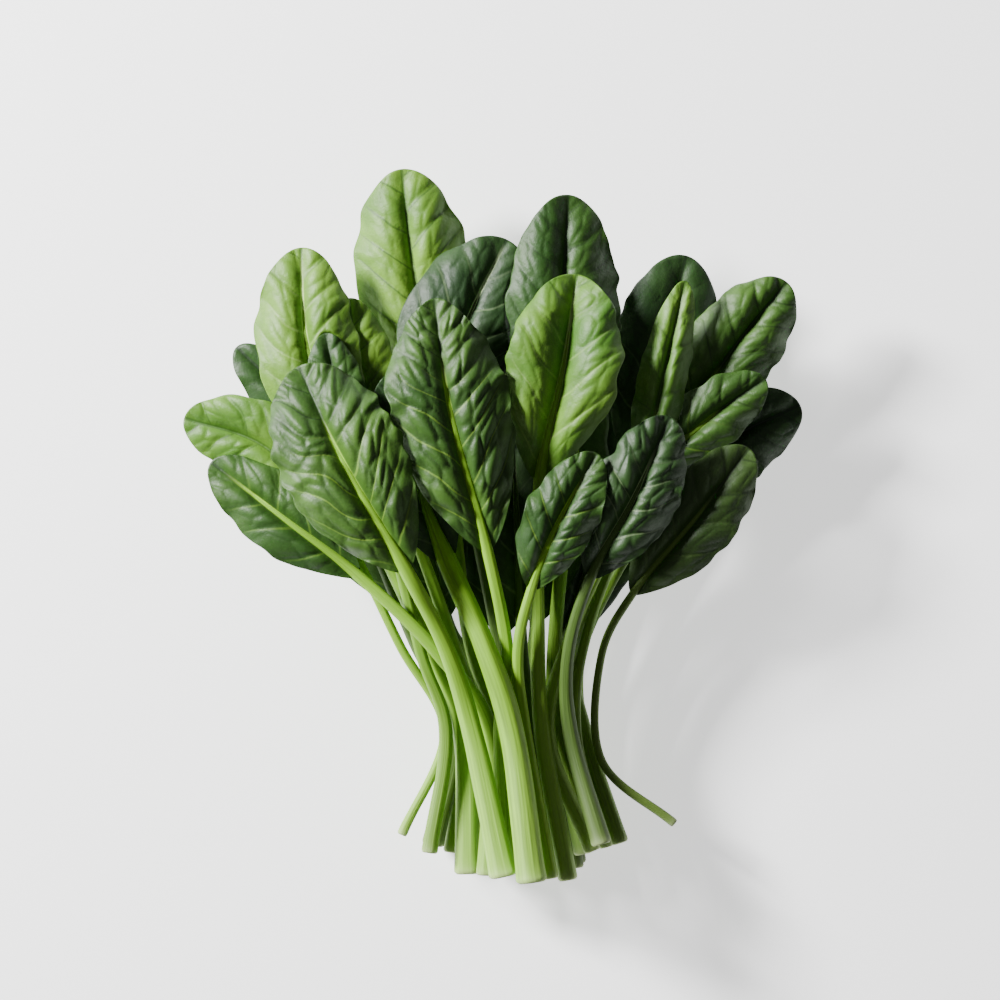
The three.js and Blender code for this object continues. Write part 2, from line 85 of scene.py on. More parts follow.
# Rib under the blade, the valley that the blade makes over it, and how it rises out where it shows
RIB_SHARE = 0.72
RIB_END_RADIUS = 0.6
RIB_TAPER = 0.85
RIB_GONE = 0.98
RIB_FADE = 0.3
PALE_FADE = 0.25
COVERED_CREST = 1.1
BARE_DROP = 0.7
LEAST_SINK = 0.3
TIP_SINK = 0.7
SINK_EVENING = 8
VALLEY_SPREAD = 1.2
VALLEY_LEAST = 0.8
RIB_RAISED = 0.15
RIB_CLEAR = 0.3
RIB_DIVE = 0.25
LIFT_FROM = 2.5
LIFT_EVENING = 20

# Side veins, with the distance between two of them along the rib
SMOOTH_VEINS = 14
CRINKLED_VEINS = 10
VEIN_SLANT = 0.8
VEIN_CURVE = 0.011
UNEVEN_SIZE = 22
VEIN_STRAY = 1.6
VEIN_ALTERNATE = 0.45
VEIN_SHIFT = 0.3
VEIN_SHIFTS = 3
CREASE_WIDTH = 1.1
CREASE_DEPTH = 0.35

# Swellings: the lobe of each half, the billow between two veins and the blisters of the cells
LOBE_SHARE = 0.13
LOBE_LEAN = 0.9
LOBE_OPENING = 4
LOBE_FALL_FROM = 0.7
BILLOW_HEIGHT = 0.45
BILLOW_DROP = 0.3
BILLOW_FULLNESS = 0.6
CELL_ACROSS = 8
CELL_ALONG = 7.5
CELL_JITTER = 0.8
CELL_SQUEEZE = 1.15
SEAM_WIDTH = 1.2
CREASE_PINCH = 0.6
BLISTER_HEIGHT = 0.72
BLISTER_DROP = 0.3
EDGE_CALM = 0.55

# Marks that a blade carries to its material, among them painted shade in the hollows between blisters
STRIP_SPREAD = 0.55
STRIP_LEAST = 0.3
VEIN_REACH = 1.3
HOLLOW_DEPTH = 1.6
HOLLOW_BY_PUFF = 0.5

# Stalk: rings, unevenness, lengthways ridges, the channel on top and the rounded cut end
STALK_SIDES = 20
STALK_RINGS = 70
RIB_RINGS = 36
RING_CROWDING = 1.25
STALK_EVENING = 40
STALK_TAPER = 0.7
STALK_WAVES = 30
STALK_UNEVENNESS = 0.03
RIDGES = 5
RIDGE_HEIGHT = 0.03
RIDGE_TWIST = 0.02
CHANNEL_DEPTH = 0.08
CHANNEL_WIDTH = 0.35
FOOT_FLARE = 0.06
FOOT_LENGTH = 4
CUT_ROUND = 0.2
CUT_ROUND_LENGTH = 0.35
CUT_HOLLOW = 0.4
CUT_PALE_LENGTH = 1.2
REST_GAP = 0.05

# Seeds of the even randomness, to which the number of the leaf is added
VEIN_SEED = 40
STALK_SEED = 200
SHADE_SEED = 1
SHADE_ROW = 3
NOTCH_SEEDS = 10
CELL_SEEDS = {"across": 0, "along": 9, "swell": 5}

# Every leaf from the ground up: tone, width, radii of the stalk at the cut end and at the neck, grid of the
# blade, and the middle line from the cut end by the waist, lower stalk, neck and middle to the tip. puff is
# the height of the blisters, veins the strength of the side veins and rib the share of the length up to
# which rib and veins are pale. Where they are given, lobe is how much each half swells against the usual,
# light how far the stalk takes a painted lit colour that stands in for the key light on it, and taper how
# much the blade narrows towards its tip.
LEAVES = [
    {"name": "under_centre", "tone": "deep", "width": 46, "radii": (3.6, 2.2), "grid": PLAIN,
     "line": [(1, -49), (0, 2), (-1, 22), (-4, 38), (-9, 98), (-17, 158)],
     "puff": 0.7, "veins": 0.5, "rib": 0.5},
    {"name": "under_left", "tone": "mid", "width": 40, "radii": (3.4, 2), "grid": PLAIN,
     "line": [(-23, -43), (-18, 2), (-23, 28), (-34, 46), (-58, 84), (-82, 118)],
     "puff": 0.7, "veins": 0.5, "rib": 0.5},
    {"name": "under_right", "tone": "deep", "width": 40, "radii": (3.4, 2), "grid": PLAIN,
     "line": [(23, -47), (16, 2), (16, 20), (19, 36), (36, 90), (54, 144)],
     "puff": 0.7, "veins": 0.5, "rib": 0.5},
    {"name": "under_mid_left", "tone": "deep", "width": 38, "radii": (3.4, 2), "grid": PLAIN,
     "line": [(-12, -45), (-10, 2), (-17, 28), (-25, 44), (-38, 98), (-48, 152)],
     "puff": 0.7, "veins": 0.5, "rib": 0.5},
    {"name": "under_mid_right", "tone": "mid", "width": 40, "radii": (3.4, 2), "grid": PLAIN,
     "line": [(10, -48), (6.5, 2), (6.5, 24), (7.5, 42), (14, 100), (19, 158)],
     "puff": 0.7, "veins": 0.5, "rib": 0.5},
    {"name": "under_far_right", "tone": "mid", "width": 28, "radii": (3.2, 1.8), "grid": PLAIN,
     "line": [(31, -39), (21, 2), (23, 30), (31, 54), (54, 84), (80, 112)],
     "puff": 0.7, "veins": 0.5, "rib": 0.5},
    {"name": "back_right", "tone": "deep", "width": 39, "radii": (3.2, 2), "grid": PLAIN,
     "line": [(22, -48), (17, 2), (23, 43), (42, 98), (53, 138), (62, 175)],
     "puff": 0.9, "veins": 0.5, "rib": 0.5},
    {"name": "tall_left", "tone": "pale", "width": 43, "radii": (3.3, 2.2), "grid": FINE,
     "line": [(-4, -43), (-5, 2), (-17, 38), (-26, 116), (-36, 165), (-41, 206)],
     "puff": 1.0, "veins": 0.9, "rib": 0.2, "lobe": 1.3},
    {"name": "far_left_tip", "tone": "deep", "width": 22, "radii": (4, 1.8), "grid": PLAIN,
     "line": [(-30, -40), (-22, 2), (-37, 36), (-59, 86), (-81, 121), (-101, 142)],
     "puff": 0.8, "veins": 0.5, "rib": 0.5},
    {"name": "upper_right", "tone": "mid", "width": 33, "radii": (3.2, 2), "grid": FINE,
     "line": [(35, -38), (24, 2), (26, 40), (55, 104), (78, 140), (98, 165)],
     "puff": 1.0, "veins": 0.7, "rib": 0.3, "lobe": 1.6, "light": 0.2},
    {"name": "hidden_centre", "tone": "deep", "width": 36, "radii": (3.2, 2), "grid": PLAIN,
     "line": [(11, -44), (6, 2), (3, 26), (2, 44), (0, 92), (-4, 138)],
     "puff": 0.8, "veins": 0.5, "rib": 0.5},
    {"name": "mid_left_folded", "tone": "pale", "width": 30, "radii": (3.2, 2), "grid": FINE,
     "line": [(-14, -45), (-13, 2), (-23, 36), (-40, 84), (-54, 122), (-60, 159)],
     "puff": 1.0, "veins": 0.7, "rib": 0.2},
    {"name": "back_centre_wide", "tone": "deep", "width": 47, "radii": (3.2, 2.2), "grid": FINE,
     "line": [(4, -45), (1, 2), (-6, 36), (-19, 106), (-19, 144), (-3, 180)],
     "puff": 1.1, "veins": 0.6, "rib": 1.1},
    {"name": "upper_left_pale", "tone": "pale", "width": 37, "radii": (5, 2.4), "grid": FINE,
     "line": [(-17, -49), (-19, 2), (-32, 36), (-59, 94), (-74, 139), (-77, 177)],
     "puff": 1.0, "veins": 0.9, "rib": 1.1, "lobe": 1.3, "light": 0.4},
    {"name": "far_right", "tone": "deep", "width": 33, "radii": (3.3, 1.9), "grid": FINE,
     "line": [(38, -38), (25.5, 2), (23, 29), (43, 70), (74, 105), (103, 121)],
     "puff": 1.0, "veins": 0.5, "rib": 0.5, "light": 0.35},
    {"name": "top_right", "tone": "mid", "width": 41, "radii": (3.4, 2.3), "grid": FINE,
     "line": [(25, -42), (16, 2), (14.5, 36), (21, 112), (17.5, 153), (19, 196)],
     "puff": 1.0, "veins": 0.7, "rib": 0.3, "lobe": 1.2},
    {"name": "left_pale", "tone": "pale", "width": 30, "radii": (1.8, 1.6), "grid": FINE,
     "line": [(-41, -35), (-25.5, 2), (-41.5, 34), (-63, 76), (-89, 105), (-119, 116)],
     "puff": 1.0, "veins": 0.8, "rib": 0.1, "light": 0.5},
    {"name": "right_mid", "tone": "mid", "width": 24, "radii": (2.6, 1.6), "grid": FINE,
     "line": [(33, -39), (22, 2), (27, 42), (49, 94), (69, 115), (90, 130)],
     "puff": 1.0, "veins": 0.6, "rib": 0.5},
    {"name": "narrow_folded", "tone": "pale", "width": 18, "radii": (3.2, 1.8), "grid": FINE,
     "line": [(28, -40), (12, 2), (22, 43), (44, 90), (52, 126), (61, 165)],
     "puff": 0.9, "veins": 0.6, "rib": 0.3, "lobe": 1.6},
    {"name": "small_grey", "tone": "mid", "width": 22, "radii": (3, 1.8), "grid": FINE,
     "line": [(-31, -41), (-25, 2), (-34, 32), (-47, 83), (-61, 117), (-68, 146)],
     "puff": 1.0, "veins": 0.6, "rib": 0.5},
    {"name": "centre_bright", "tone": "pale", "width": 41, "radii": (3.6, 2.4), "grid": FINE,
     "line": [(19, -50), (10, 2), (8, 43), (9, 94), (17, 133), (22, 167)],
     "puff": 1.2, "veins": 0.8, "rib": 0.9, "lobe": 1.9},
    {"name": "left_low", "tone": "mid", "width": 27, "radii": (4, 2.1), "grid": FINE,
     "line": [(-10, -49), (-9, 2), (-28, 32), (-57, 60), (-83, 80), (-109, 100)],
     "puff": 1.1, "veins": 0.5, "rib": 0.8, "light": 0.6},
    {"name": "right_olive", "tone": "olive", "width": 30, "radii": (1.6, 1.4), "grid": FINE,
     "line": [(58, -31), (31.5, -8), (31, 29), (42.5, 53), (64, 79), (84, 105)],
     "puff": 0.9, "veins": 0.7, "rib": 0.6},
    {"name": "between_front", "tone": "deep", "width": 29, "radii": (5.4, 3.6), "grid": FINE,
     "line": [(6, -49.5), (-1, 2), (-11, 34), (-25, 66), (-36, 97), (-44, 132)],
     "puff": 1.0, "veins": 0.5, "rib": 0.5, "light": 0.9},
    {"name": "right_front", "tone": "deep", "width": 31, "radii": (3.6, 1.9), "grid": FINE,
     "line": [(31, -37), (20, 2), (19, 31), (27, 59), (42, 87), (55, 116)],
     "puff": 1.7, "veins": 0.8, "rib": 0.7, "lobe": 1.3},
    {"name": "centre_front", "tone": "mid", "width": 44, "radii": (3.8, 2), "grid": FINE,
     "line": [(-3, -44), (-5, 2), (-3, 32), (-10, 69), (-23, 118), (-29, 158)],
     "taper": 0.3, "puff": 2.4, "veins": 1.0, "rib": 0.62, "light": 1},
    {"name": "centre_small", "tone": "mid", "width": 26, "radii": (2.6, 1.8), "grid": FINE,
     "line": [(13, -49), (4, 2), (1, 31), (6, 55), (15, 78), (29, 103)],
     "puff": 1.6, "veins": 0.9, "rib": 0.75, "lobe": 1.2, "light": 0.7},
    {"name": "left_front", "tone": "mid", "width": 45, "radii": (5, 2.5), "grid": FINE,
     "line": [(-4, -48), (-15, 2), (-24, 32), (-39, 62), (-61, 100), (-77, 134)],
     "puff": 2.2, "veins": 1.0, "rib": 0.6, "lobe": 1.25, "light": 0.7},
]


def along(line, step):
    """Places on a smooth curve through a middle line; step 0 is the cut end, 3 the neck and 5 the tip."""
    places = np.asarray(line, float)
    ends = np.vstack([2 * places[0] - places[1], places, 2 * places[-1] - places[-2]])
    step = np.asarray(step, float)
    start = np.clip(np.floor(step).astype(int), 0, len(places) - 2)
    f = (step - start)[..., None]
    before, here, there, after = (ends[start + k] for k in range(4))
    first = there - before
    second = 2 * before - 5 * here + 4 * there - after
    third = 3 * (here - there) + after - before
    return here + 0.5 * f * (first + f * (second + f * third))


def right_of(line, step):
    """Level direction to the right of the line."""
    reach = 0.05
    last = len(line) - 1
    way = along(line, np.minimum(step + reach, last)) - along(line, np.maximum(step - reach, 0))
    way /= np.linalg.norm(way, axis=-1, keepdims=True)
    return np.stack([way[..., 1], -way[..., 0]], axis=-1)


WAVES_SUMMED = 5
WAVE_SPREAD = (0.8, 1.7)
WAVE_LEVEL = 2.6


def waves(x, y, size, seed):
    """Soft unevenness between about -1 and 1 with bumps of about the given size."""
    draw = np.random.default_rng(seed)
    total = 0
    for _ in range(WAVES_SUMMED):
        turn = draw.uniform(0, math.tau)
        pace = math.tau / (size * draw.uniform(*WAVE_SPREAD))
        total = total + np.sin(pace * (x * math.cos(turn) + y * math.sin(turn)) + draw.uniform(0, math.tau))
    return total / WAVE_LEVEL


SCATTER_COLUMN = 127.1
SCATTER_ROW = 311.7
SCATTER_SEED = 74.7
SCATTER_SCALE = 43758.5453


def scatter(column, row, seed):
    """Repeatable number between 0 and 1 for each whole place of a grid."""
    value = np.sin(column * SCATTER_COLUMN + row * SCATTER_ROW + seed * SCATTER_SEED) * SCATTER_SCALE
    return value - np.floor(value)


def jitter(column, row, seed):
    """How far the middle of a cell is off its place, as a share of the cell."""
    return 0.5 + CELL_JITTER * (scatter(column, row, seed) - 0.5)


def quilt(x, y, seed):
    """Distance to the nearest seam between uneven cells, and how far each cell swells."""
    column = np.floor(x / CELL_ACROSS)
    row = np.floor(y / CELL_ALONG)
    nearest = np.full(x.shape, np.inf)
    second = np.full(x.shape, np.inf)
    swell = np.zeros(x.shape)
    for i in (column - 1, column, column + 1):
        for j in (row - 1, row, row + 1):
            middle_x = (i + jitter(i, j, seed + CELL_SEEDS["across"])) * CELL_ACROSS
            middle_y = (j + jitter(i, j, seed + CELL_SEEDS["along"])) * CELL_ALONG
            distance = np.hypot(x - middle_x, y - middle_y)
            nearer = distance < nearest
            second = np.minimum(second, np.where(nearer, nearest, distance))
            swell = np.where(nearer, 0.5 + 0.5 * scatter(i, j, seed + CELL_SEEDS["swell"]), swell)
            nearest = np.where(nearer, distance, nearest)
    return (second - nearest) / 2, swell


def crinkled(leaf):
    """Whether a leaf has the close veins and strong ruffles of the front ones."""
    return leaf["puff"] >= CRINKLED_FROM


def notches(leaf, across, share, turn):
    """Small uneven notches along the edge of a blade."""
    length = np.linalg.norm(np.subtract(leaf["line"][-1], leaf["line"][NECK_STEP]))
    half = np.where(across > 0, leaf["width"], 0)
    depth = CRINKLED_NOTCH_DEPTH if crinkled(leaf) else NOTCH_DEPTH
    seed = len(LEAVES) + int(NOTCH_SEEDS * turn)
    return depth * waves(half, share * length, NOTCH_SIZE, seed) * across**2


def blade_sheet(leaf, index):
    """Grid of a blade: level places, distance from the rib, share of the length and way across."""
    grid = leaf["grid"]
    turn = index * LEAF_TURN
    lower = np.linspace(0, 1, grid["lower"], endpoint=False)
    up = np.concatenate([lower, np.linspace(1, 2, grid["upper"] + 1)])[:, None]
    across = np.linspace(-1, 1, grid["across"] + 1)[None, :]
    half = leaf["width"] / 2
    neck_half = leaf["radii"][1] * NECK_SPREAD
    base = np.minimum(up, 1)
    opening = np.sin(base * math.pi / 2) ** BASE_ROUND
    cap = np.maximum(up - 1, 0)
    rise = cap * np.sqrt(1 - across**2 / 2)
    taper = 1 - leaf.get("taper", USUAL_TAPER) * rise**2
    side = across * (neck_half + (half - neck_half) * opening) * taper * np.sqrt(1 - cap**2 / 2)
    share = np.where(up <= 1, WIDEST * base, WIDEST + (1 - WIDEST) * rise)
    step = NECK_STEP + BLADE_STEPS * share
    phase = math.tau * EDGE_WAVES * share + turn + np.where(across > 0, EDGE_LAG, 0)
    scallops = SCALLOP_DEPTH * np.sin(SCALLOP_PACE * phase)
    side = side * (1 + (scallops + notches(leaf, across, share, turn)) * np.minimum(1, 2 * share))
    places = along(leaf["line"], step) + side[..., None] * right_of(leaf["line"], step)
    middle = side.shape[1] // 2
    length = np.linalg.norm(np.diff(places[:, middle], axis=0), axis=1).sum()
    return SimpleNamespace(places=places, side=side, share=share, run=share * length, middle=middle,
                           out=np.abs(np.broadcast_to(across, side.shape)),
                           opened=np.clip(share * OPENING_PACE, 0, 1))


def heights(tree, places, upward=False):
    """Heights where a solid's surface is met from above, or from below; nan where it is missed."""
    start, way = (-1, 1) if upward else (1, -1)
    out = np.full(places.shape[:-1], np.nan)
    for index in np.ndindex(out.shape):
        x, y = places[index] * MM
        hit = tree.ray_cast(Vector((x, y, start)), Vector((0, 0, way)))[0]
        if hit is not None:
            out[index] = hit.z / MM
    return out


def fill_out(values):
    """Fills missed places from their neighbours nearer the rib, then from the row below."""
    middle = values.shape[1] // 2
    for row in range(len(values)):
        if np.isnan(values[row, middle]):
            values[row, middle] = values[row - 1, middle] if row else np.nanmean(values[:3])
        for column in range(middle + 1, values.shape[1]):
            if np.isnan(values[row, column]):
                values[row, column] = values[row, column - 1]
        for column in range(middle - 1, -1, -1):
            if np.isnan(values[row, column]):
                values[row, column] = values[row, column + 1]
    return values


def fill_line(values):
    """Fills missed places of a row of stations from the nearest ones that were met."""
    met = np.flatnonzero(~np.isnan(values))
    return np.interp(np.arange(len(values)), met, values[met])


def smooth(values, passes):
    """Evens out heights with their neighbours."""
    for _ in range(passes):
        wide = np.pad(values, 1, mode="edge")
        mean = (wide[:-2, 1:-1] + wide[2:, 1:-1] + wide[1:-1, :-2] + wide[1:-1, 2:]) / 4
        values = values + 0.5 * (mean - values)
    return values


def smooth_line(values, passes):
    """Evens out the heights of a row of stations."""
    for _ in range(passes):
        values[1:-1] += 0.5 * ((values[:-2] + values[2:]) / 2 - values[1:-1])
    return values


def solid_tree(*names):
    """Search tree of frame nodes, in the row frame."""
    corners = []
    faces = []
    for name in names:
        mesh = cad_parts[name].data
        start = len(corners)
        corners += [vertex.co.copy() for vertex in mesh.vertices]
        faces += [tuple(start + corner for corner in face.vertices) for face in mesh.polygons]
    return BVHTree.FromPolygons(corners, faces)


def free_room(leaf, places, level):
    """Clear heights from a blade down to its neighbours or the ground and up to its neighbours."""
    own = ("blade_" + leaf["name"], "stalk_" + leaf["name"])
    others = solid_tree(*(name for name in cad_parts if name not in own))
    room = np.full((2,) + level.shape, float(FREE_REACH))
    room[0] = np.minimum(room[0], level)
    for index in np.ndindex(level.shape):
        x, y = places[index] * MM
        for way, side in ((-1, 0), (1, 1)):
            start = Vector((x, y, (level[index] + way * SOLID_THICKNESS / 2) * MM))
            hit, _, _, distance = others.ray_cast(start, Vector((0, 0, way)), FREE_REACH * MM)
            if hit is not None:
                room[side][index] = min(room[side][index], distance / MM)
    rows, columns = level.shape
    for side in (0, 1):
        wide = np.pad(room[side], 1, mode="edge")
        nearby = [wide[i:i + rows, j:j + columns] for i in range(3) for j in range(3)]
        room[side] = smooth(np.min(nearby, axis=0), ROOM_EVENING)
    return room


def rib_radius(leaf, share):
    """Radius of the rib at a share of the blade's length."""
    neck = leaf["radii"][1]
    part = np.clip(share / RIB_SHARE, 0, 1)
    return neck + (RIB_END_RADIUS - neck) * part**RIB_TAPER


def rib_heights(tree, leaf, share):
    """Height of the middle of the rib under the blade."""
    places = along(leaf["line"], NECK_STEP + BLADE_STEPS * np.minimum(share, RIB_SHARE))
    middle = (heights(tree, places) + heights(tree, places, upward=True)) / 2
    return fill_line(middle)


def paleness(leaf, share):
    """From 1 where the rib and veins are pale to 0 beyond the share that the leaf gives for it."""
    return np.clip((leaf["rib"] - share) / PALE_FADE + 0.5, 0, 1)


def rib_valley(leaf, crest, share):
    """Radius of the rib, how deep the blade sinks to it, and how its marks fade towards the tip."""
    radius = rib_radius(leaf, share)
    fade = np.clip((RIB_GONE - share) / RIB_FADE, 0, 1)
    rib_middle = rib_heights(solid_tree("stalk_" + leaf["name"]), leaf, share)
    cover = COVERED_CREST - BARE_DROP * paleness(leaf, share)
    sink = np.maximum(crest - (rib_middle + cover * radius), LEAST_SINK)
    sink = np.where(share < RIB_SHARE, sink, TIP_SINK * fade)
    return radius, smooth_line(sink, SINK_EVENING), fade


def add_mesh(name, points, faces, material, **carried):
    """Mesh object in metres with a material and the values that it carries at each point."""
    mesh = bpy.data.meshes.new(name)
    mesh.from_pydata((np.asarray(points) * MM).tolist(), [], faces)
    mesh.validate()
    for title, values in carried.items():
        attribute = mesh.color_attributes.new(title, "FLOAT_COLOR", "POINT")
        attribute.data.foreach_set("color", np.asarray(values, np.float32).ravel())
    mesh.polygons.foreach_set("use_smooth", [True] * len(mesh.polygons))
    mesh.materials.append(material)
    made = bpy.data.objects.new(name, mesh)
    bpy.context.collection.objects.link(made)
    return made


# Height of each blade along its rib, and of what lies above it there, filled in as blades are made
RIB_LINES = {}


def side_veins(leaf, index, sheet):
    """Places along the rib where the veins leave it, bending towards the tip, and their numbers."""
    spacing = CRINKLED_VEINS if crinkled(leaf) else SMOOTH_VEINS
    uneven = waves(sheet.side, sheet.run, UNEVEN_SIZE, VEIN_SEED + index)
    start = sheet.run - VEIN_SLANT * np.abs(sheet.side) - VEIN_CURVE * sheet.side**2 + VEIN_STRAY * uneven
    alternate = np.where(sheet.side > 0, VEIN_ALTERNATE, 0)
    count = start / spacing + alternate + VEIN_SHIFT * (index % VEIN_SHIFTS)
    away = np.abs(count - np.round(count)) * spacing / math.hypot(1, VEIN_SLANT)
    return SimpleNamespace(start=start, count=count, away=away, uneven=uneven)


def blade_relief(leaf, index, sheet, veins, clear):
    """Lobes, billows, creases, blisters and ruffles; clear is 0 at the rib and 1 well away from it."""
    crease = np.exp(-veins.away / CREASE_WIDTH) * clear
    rise = LOBE_SHARE * leaf.get("lobe", 1) * leaf["width"] / 2
    lobe = rise * np.sin(math.pi * sheet.out**LOBE_LEAN) * np.clip(sheet.share * LOBE_OPENING, 0, 1)
    lobe *= 1 - np.clip((sheet.share - LOBE_FALL_FROM) / (1 - LOBE_FALL_FROM), 0, 1) ** 2
    billow = BILLOW_HEIGHT * np.abs(np.sin(math.pi * veins.count)) ** BILLOW_FULLNESS - BILLOW_DROP
    billow = (billow - CREASE_DEPTH * leaf["veins"] * crease) * clear * (1 - sheet.out**6)
    half = index + 0.5 * (sheet.side > 0)
    seam, swell = quilt(CELL_SQUEEZE * np.abs(sheet.side), veins.start, half)
    pillow = swell * (1 - np.exp(-seam / SEAM_WIDTH)) * (1 - CREASE_PINCH * crease)
    blisters = BLISTER_HEIGHT * leaf["puff"] * (pillow - BLISTER_DROP) * clear
    blisters *= 1 - EDGE_CALM * sheet.out**3
    height = CRINKLED_RUFFLE_HEIGHT if crinkled(leaf) else RUFFLE_HEIGHT
    ruffle = height * sheet.out**4 * np.sin(sheet.run / RUFFLE_LENGTH + RUFFLE_STRAY * veins.uneven)
    return (lobe + billow + blisters + ruffle) * sheet.opened, pillow


def sheet_faces(rows, columns):
    """Faces of the upper side, the lower side and the rim of a thin sheet."""
    below = rows * columns
    faces = []
    for row in range(rows - 1):
        for column in range(columns - 1):
            near = row * columns + column
            far = near + columns
            faces.append((near, near + 1, far + 1, far))
            faces.append((near + below, far + below, far + 1 + below, near + 1 + below))
    rim = list(range(columns - 1))
    rim += [row * columns + columns - 1 for row in range(rows - 1)]
    rim += [(rows - 1) * columns + column for column in range(columns - 1, 0, -1)]
    rim += [row * columns for row in range(rows - 1, 0, -1)]
    for here, after in zip(rim, rim[1:] + rim[:1]):
        faces.append((here, here + below, after + below, after))
    return faces


def make_blade(leaf, index, material):
    """Blade with its veins, blisters and ruffled edge, over the plain solid of the same leaf."""
    sheet = blade_sheet(leaf, index)
    top = fill_out(heights(solid_tree("blade_" + leaf["name"]), sheet.places))
    level = smooth(top, leaf["grid"]["evening"]) - SOLID_THICKNESS / 2
    down, up = free_room(leaf, sheet.places, level)
    rib_share = sheet.share[:, sheet.middle]
    radius, sink, fade = rib_valley(leaf, level[:, sheet.middle], rib_share)
    valley = (VALLEY_SPREAD * radius + VALLEY_LEAST)[:, None]
    clear = 1 - np.exp(-((sheet.side / valley) ** 2))
    veins = side_veins(leaf, index, sheet)
    relief, pillow = blade_relief(leaf, index, sheet, veins, clear)
    relief -= sink[:, None] * (1 - clear)
    ceiling = level[:, sheet.middle] + up[:, sheet.middle]
    level = level + np.clip(relief, ROOM_KEPT - ROOM_USED * down, ROOM_USED * up - ROOM_KEPT)
    RIB_LINES[leaf["name"]] = (rib_share, level[:, sheet.middle], ceiling)

    # Carried to the material: vein number, place across the rib's strip, topside and strength of the
    # veins; then paleness, painted shade in the hollows and the leaf's own shade
    across_rib = sheet.side / (STRIP_SPREAD * radius[:, None] + STRIP_LEAST)
    strength = leaf["veins"] * np.clip((1 - sheet.out**3) * VEIN_REACH, 0, 1) * sheet.opened
    pale = paleness(leaf, sheet.share) * fade[:, None]
    # Painted shade: how dark the hollows between blisters are painted
    painted_hollow_shade = np.clip(1 - HOLLOW_DEPTH * pillow, 0, 1) * clear * min(1, HOLLOW_BY_PUFF * leaf["puff"])
    same = np.ones_like(level)
    shade = same * scatter(index, SHADE_ROW, SHADE_SEED)
    topside = np.dstack([veins.count, across_rib, same, strength]).reshape(-1, 4)
    underside = topside * [1, 1, 0, 1]
    marks = np.dstack([pale, painted_hollow_shade, shade, same]).reshape(-1, 4)
    upper = np.dstack([sheet.places, level]).reshape(-1, 3)
    lower = upper - [0, 0, BLADE_THICKNESS]
    return add_mesh("blade_" + leaf["name"] + "_fine", np.vstack([upper, lower]), sheet_faces(*level.shape),
                    material, leaf=np.vstack([topside, underside]), marks=np.vstack([marks, marks]))


def rib_lift(leaf, step, middle, radius):
    """How far the rib rises out of its own blade, where it shows on the blade's upper face."""
    blade_share, crest, ceiling = RIB_LINES[leaf["name"]]
    rib_share = np.maximum(step - NECK_STEP, 0) / BLADE_STEPS
    wanted = np.interp(rib_share, blade_share, crest) + RIB_RAISED * radius - middle
    allowed = np.interp(rib_share, blade_share, ceiling) - RIB_CLEAR - radius - middle
    begin = np.clip((step - LIFT_FROM) / (NECK_STEP - LIFT_FROM), 0, 1)
    dive = np.clip((RIB_SHARE - rib_share) / RIB_DIVE, 0, 1)
    lift = np.clip(np.minimum(wanted, allowed), 0, None) * begin * paleness(leaf, rib_share) * dive
    return smooth_line(lift, LIFT_EVENING)


def stalk_faces(rings):
    """Faces round a closed stalk; its last two points are the middles of the cut end and the rib's end."""
    faces = []
    last = (rings - 1) * STALK_SIDES
    cut_middle = rings * STALK_SIDES
    end_middle = cut_middle + 1
    for corner in range(STALK_SIDES):
        after = (corner + 1) % STALK_SIDES
        for start in range(0, last, STALK_SIDES):
            here = start + corner
            beside = start + after
            faces.append((here, here + STALK_SIDES, beside + STALK_SIDES, beside))
        faces.append((cut_middle, corner, after))
        faces.append((end_middle, last + after, last + corner))
    return faces


